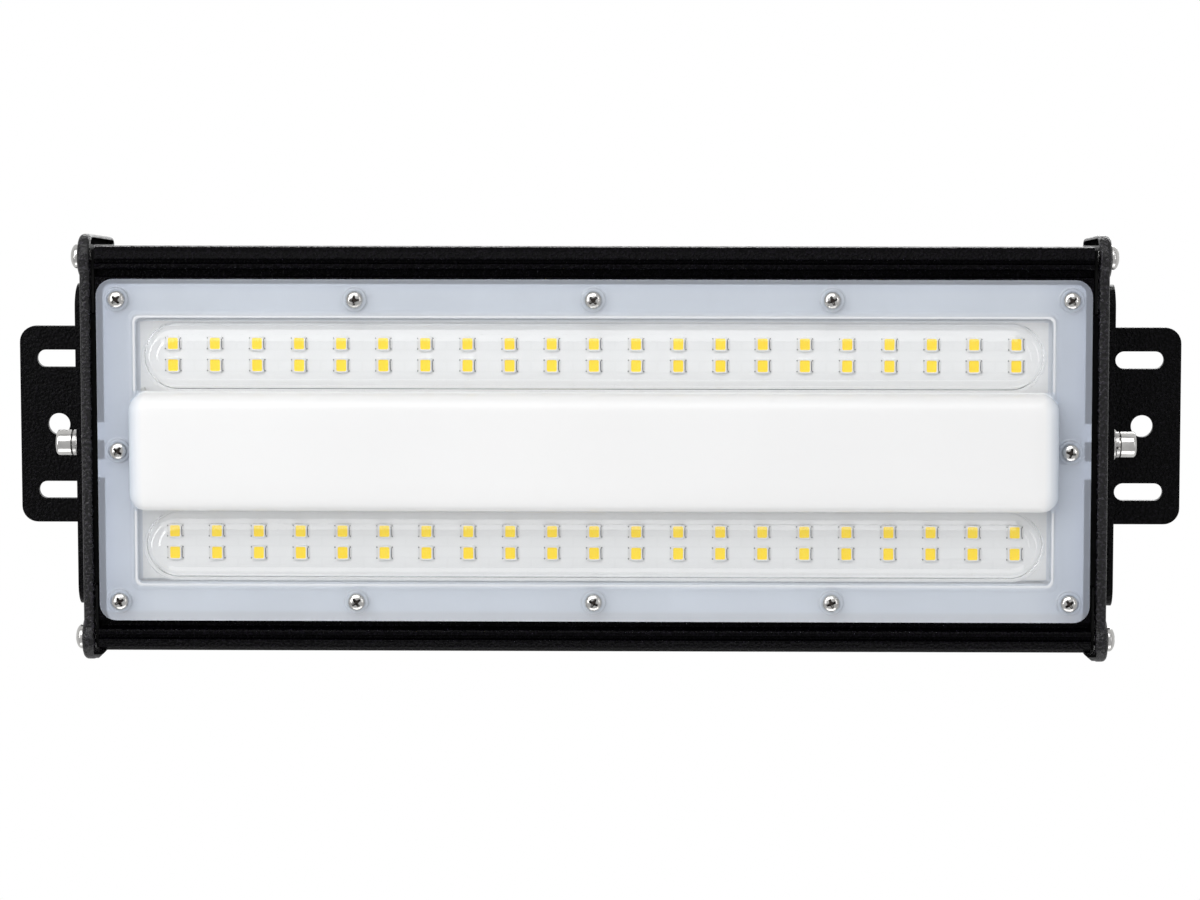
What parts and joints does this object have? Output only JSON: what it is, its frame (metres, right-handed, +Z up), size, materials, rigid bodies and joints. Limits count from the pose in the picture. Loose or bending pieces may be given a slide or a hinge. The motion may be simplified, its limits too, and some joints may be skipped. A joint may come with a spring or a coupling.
{
  "type": "linear high bay light",
  "caption": "Linear LED high bay light: finned black body, clear domed cover over two LED strips, cast end caps and two swivelling ceiling brackets with slotted feet.",
  "frame": {"origin": "centre of the ceiling plane, level with the top faces of both bracket feet and midway between them", "axes": "+X runs along the light, +Z points up into the ceiling and -Z is the way the light shines; -Y is the side that the picture shows uppermost"},
  "size_m": [0.399, 0.1404, 0.076],
  "materials": {
    "black_extrusion": "fine textured black powder coat on extruded aluminium",
    "black_casting": "fine textured black powder coat on cast aluminium",
    "black_sheet": "satin textured black powder coat on sheet steel",
    "clear_cover": "moulded polycarbonate: frosted flange, clear strip domes, opal hump",
    "grey_gasket": "matt light grey silicone",
    "white_led_board": "white solder mask with yellow phosphor packages",
    "thermal_pad": "matt filled silicone",
    "green_board": "green solder mask",
    "insulating_film": "formed insulating film",
    "transformer_tape": "yellow wound tape over a ferrite core",
    "capacitor_sleeve": "shrink sleeve",
    "ferrite": "coated ferrite ring with its winding",
    "terminal_plastic": "moulded terminal housing",
    "lead_insulation": "white silicone insulation",
    "black_nylon": "moulded black nylon",
    "black_rubber": "matt black rubber",
    "stainless_steel": "bright stainless steel"
  },
  "bodies": {
    "left_bracket": {"left_bracket": "black_sheet"},
    "lamp": {"breather_plug": "black_nylon", "choke": "ferrite", "driver_board": "green_board", "driver_screw_1": "stainless_steel", "driver_screw_2": "stainless_steel", "driver_tray": "insulating_film", "gland_body": "black_nylon", "gland_locknut": "black_nylon", "gland_nut": "black_nylon", "gland_seal": "black_rubber", "heatsink_body": "black_extrusion", "input_capacitor": "capacitor_sleeve", "left_cap_screw_1": "stainless_steel", "left_cap_screw_2": "stainless_steel", "left_cap_screw_3": "stainless_steel", "left_cap_screw_4": "stainless_steel", "left_end_cap": "black_casting", "left_end_gasket": "black_rubber", "left_lock_screw": "stainless_steel", "left_lock_washer": "stainless_steel", "left_pivot_bolt": "stainless_steel", "left_pivot_spring_washer": "stainless_steel", "left_pivot_washer": "stainless_steel", "lens_cover": "clear_cover", "lens_gasket": "grey_gasket", "lens_screw_01": "stainless_steel", "lens_screw_02": "stainless_steel", "lens_screw_03": "stainless_steel", "lens_screw_04": "stainless_steel", "lens_screw_05": "stainless_steel", "lens_screw_06": "stainless_steel", "lens_screw_07": "stainless_steel", "lens_screw_08": "stainless_steel", "lens_screw_09": "stainless_steel", "lens_screw_10": "stainless_steel", "lens_screw_11": "stainless_steel", "lens_screw_12": "stainless_steel", "lower_led_board": "white_led_board", "lower_led_lead": "lead_insulation", "lower_thermal_pad": "thermal_pad", "output_capacitor": "capacitor_sleeve", "right_cap_screw_1": "stainless_steel", "right_cap_screw_2": "stainless_steel", "right_cap_screw_3": "stainless_steel", "right_cap_screw_4": "stainless_steel", "right_end_cap": "black_casting", "right_end_gasket": "black_rubber", "right_lock_screw": "stainless_steel", "right_lock_washer": "stainless_steel", "right_pivot_bolt": "stainless_steel", "right_pivot_spring_washer": "stainless_steel", "right_pivot_washer": "stainless_steel", "terminal_block": "terminal_plastic", "transformer": "transformer_tape", "upper_led_board": "white_led_board", "upper_led_lead": "lead_insulation", "upper_thermal_pad": "thermal_pad"},
    "right_bracket": {"right_bracket": "black_sheet"}
  },
  "joints": [
    {"name": "lamp_tilt", "type": "hinge", "parent": "left_bracket", "child": "lamp", "pos_m": [0, 0, -0.0475], "axis": [1, 0, 0], "range_deg": [-15, 15]},
    {"name": "right_bracket_swivel", "type": "hinge", "parent": "lamp", "child": "right_bracket", "pos_m": [0, 0, -0.0475], "axis": [1, 0, 0], "range_deg": [-15, 15]}
  ],
  "couplings": [
    {"joint": "right_bracket_swivel", "follows": "lamp_tilt", "ratio": -1}
  ]
}
